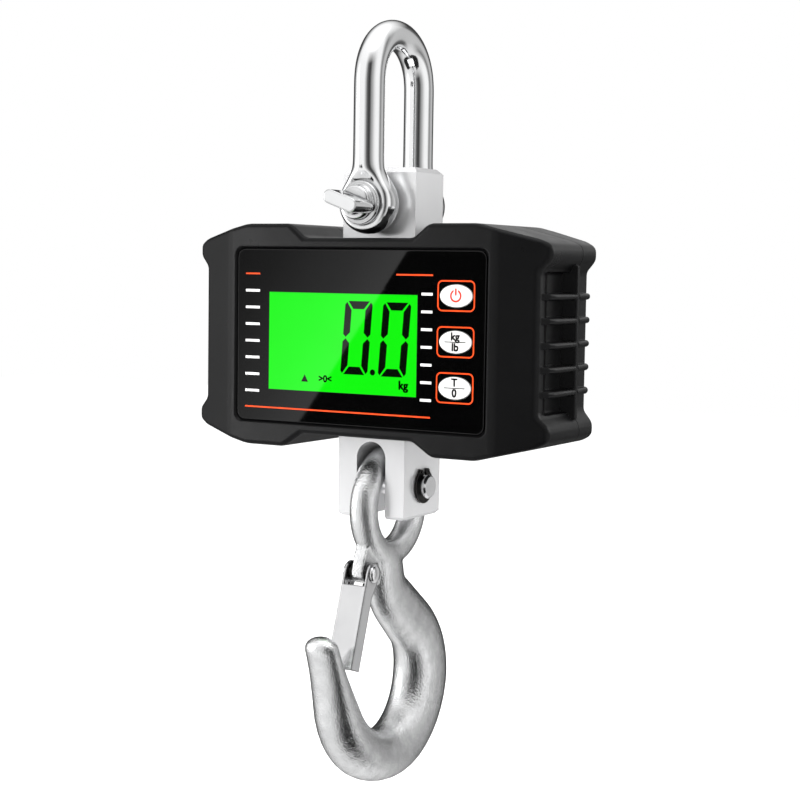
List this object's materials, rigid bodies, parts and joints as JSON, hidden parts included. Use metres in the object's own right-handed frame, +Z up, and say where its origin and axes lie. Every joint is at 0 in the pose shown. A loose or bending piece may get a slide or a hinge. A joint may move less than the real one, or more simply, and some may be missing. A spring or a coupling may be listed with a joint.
{
  "type": "crane scale",
  "caption": "Hanging crane scale: a shackle, a load cell in a black two-shell housing with a lit green display and keys, and a latched eye hook.",
  "frame": {"origin": "load point inside the shackle crown", "axes": "+Z up, display faces -Y, hook throat opens towards -Y, +X to the right when facing the display"},
  "size_m": [0.1988, 0.1187, 0.3807],
  "materials": {
    "polished_steel": "mirror-polished stainless steel",
    "cell_steel": "fine ground alloy steel, nickel plated",
    "pin_steel": "turned bright steel",
    "galvanised_steel": "drop forged, hot-dip galvanised, grainy",
    "bright_sheet": "bright pressed sheet steel",
    "black_steel": "black oxide spring steel",
    "dark_steel": "sealing disc",
    "zinc_steel": "zinc plated",
    "housing_black": "fine satin black moulding",
    "panel_gloss": "gloss black",
    "key_white": "satin white",
    "display_green": "backlit display glass",
    "light_guide": "diffuser",
    "black_plastic": "moulded",
    "dark_lens": "infra-red window resin",
    "ivory_plastic": "moulded",
    "board_green": "solder mask",
    "gauge_foil": "foil on film",
    "black_rubber": "moulded",
    "grey_cable": "sheath",
    "red_wire": "sheath",
    "cell_wrap": "shrink film"
  },
  "bodies": {
    "shackle": {"shackle_bow": "polished_steel", "shackle_pin": "polished_steel"},
    "scale": {"load_cell": "cell_steel", "strain_gauges": "gauge_foil", "gauge_covers": "dark_steel", "cell_bracket": "zinc_steel", "bracket_screws": "zinc_steel", "top_seal": "black_rubber", "bottom_seal": "black_rubber", "hook_pin": "pin_steel", "retaining_rings": "black_steel", "front_housing": "housing_black", "rear_housing": "housing_black", "housing_gasket": "black_rubber", "housing_screws": "black_steel", "front_panel": "panel_gloss", "key_switches": "black_plastic", "lcd_bezel": "black_plastic", "lcd_glass": "display_green", "backlight": "light_guide", "main_board": "board_green", "board_screws": "zinc_steel", "controller_chip": "black_plastic", "converter_chip": "black_plastic", "buzzer": "black_plastic", "ir_receiver": "dark_lens", "cell_connector": "ivory_plastic", "cell_cable": "grey_cable", "battery_cells": "cell_wrap", "battery_leads": "red_wire", "battery_door": "housing_black", "door_seal": "black_rubber", "door_screws": "black_steel", "charger_socket": "black_plastic", "socket_nut": "zinc_steel", "charger_leads": "red_wire"},
    "hook": {"hook": "galvanised_steel", "latch_rivet": "pin_steel", "latch_spring": "black_steel"},
    "latch": {"latch": "bright_sheet"},
    "power_key": {"key_power": "key_white"},
    "hold_key": {"key_hold": "key_white"},
    "tare_key": {"key_tare": "key_white"}
  },
  "joints": [
    {"name": "scale_swing", "type": "hinge", "parent": "shackle", "child": "scale", "pos_m": [0, 0, -0.0757], "axis": [0, 1, 0], "range_deg": [-85, 85]},
    {"name": "hook_swing", "type": "hinge", "parent": "scale", "child": "hook", "pos_m": [0, 0, -0.2146], "axis": [1, 0, 0], "range_deg": [-30, 30]},
    {"name": "latch_hinge", "type": "hinge", "parent": "hook", "child": "latch", "pos_m": [0, -0.025, -0.25634], "axis": [1, 0, 0], "range_deg": [0, 40], "stiffness_Nm_per_rad": 0.03, "springref_deg": -28.65},
    {"name": "power_press", "type": "slide", "parent": "scale", "child": "power_key", "axis": [0, 1, 0], "range_m": [0, 0.0006], "stiffness_N_per_m": 800},
    {"name": "hold_press", "type": "slide", "parent": "scale", "child": "hold_key", "axis": [0, 1, 0], "range_m": [0, 0.0006], "stiffness_N_per_m": 800},
    {"name": "tare_press", "type": "slide", "parent": "scale", "child": "tare_key", "axis": [0, 1, 0], "range_m": [0, 0.0006], "stiffness_N_per_m": 800}
  ]
}
